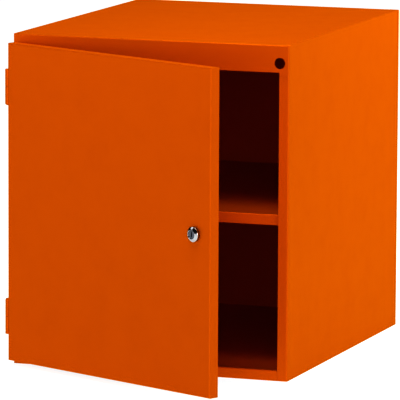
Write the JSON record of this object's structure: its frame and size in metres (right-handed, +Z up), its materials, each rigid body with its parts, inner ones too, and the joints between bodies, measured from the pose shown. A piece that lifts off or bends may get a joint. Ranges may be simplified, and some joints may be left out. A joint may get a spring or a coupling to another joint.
{
  "type": "under-bench cupboard",
  "caption": "Sheet-steel under-bench cupboard with a hinged lockable door standing ajar, a shelf at half height and an empty lock hole in the top rail.",
  "frame": {"origin": "centre of the carcass's footprint, on the ground, where the base stiffener's web touches it", "axes": "+Z up through the roof, -Y out of the front, +X towards the lock side"},
  "size_m": [0.4417, 0.7504, 0.5],
  "materials": {
    "powder_coat_orange": "satin powder coat with a fine orange-peel texture",
    "zinc_steel": "bright zinc plate",
    "lock_chrome": "bright chrome plate",
    "rubber_grey": "matt"
  },
  "bodies": {
    "cabinet": {"top_panel": "powder_coat_orange", "side_panel_left": "powder_coat_orange", "side_panel_right": "powder_coat_orange", "base_panel": "powder_coat_orange", "base_stiffener": "powder_coat_orange", "back_panel": "powder_coat_orange", "corner_angles": "powder_coat_orange", "shelf": "powder_coat_orange", "shelf_bracket_left": "powder_coat_orange", "shelf_bracket_right": "powder_coat_orange", "shelf_screws": "zinc_steel", "hinge_upper_body_leaf": "powder_coat_orange", "hinge_lower_body_leaf": "powder_coat_orange", "hinge_upper_pin": "powder_coat_orange", "hinge_lower_pin": "powder_coat_orange"},
    "door": {"door_pan": "powder_coat_orange", "door_stiffener": "powder_coat_orange", "hinge_upper_door_leaf": "powder_coat_orange", "hinge_lower_door_leaf": "powder_coat_orange", "lock_housing": "lock_chrome", "lock_washer": "zinc_steel", "lock_nut": "zinc_steel", "door_buffers": "rubber_grey"},
    "lock_cylinder": {"lock_plug": "lock_chrome", "lock_cam": "zinc_steel", "cam_screw": "zinc_steel"}
  },
  "joints": [
    {"name": "door_hinge", "type": "hinge", "parent": "cabinet", "child": "door", "pos_m": [-0.22045, -0.28625, 0.248], "axis": [0, 0, -1], "range_deg": [-26, 154]},
    {"name": "lock_turn", "type": "hinge", "parent": "door", "child": "lock_cylinder", "pos_m": [0.14133, -0.46688, 0.2446], "axis": [-0.4384, -0.8988, 0], "range_deg": [0, 90]}
  ]
}
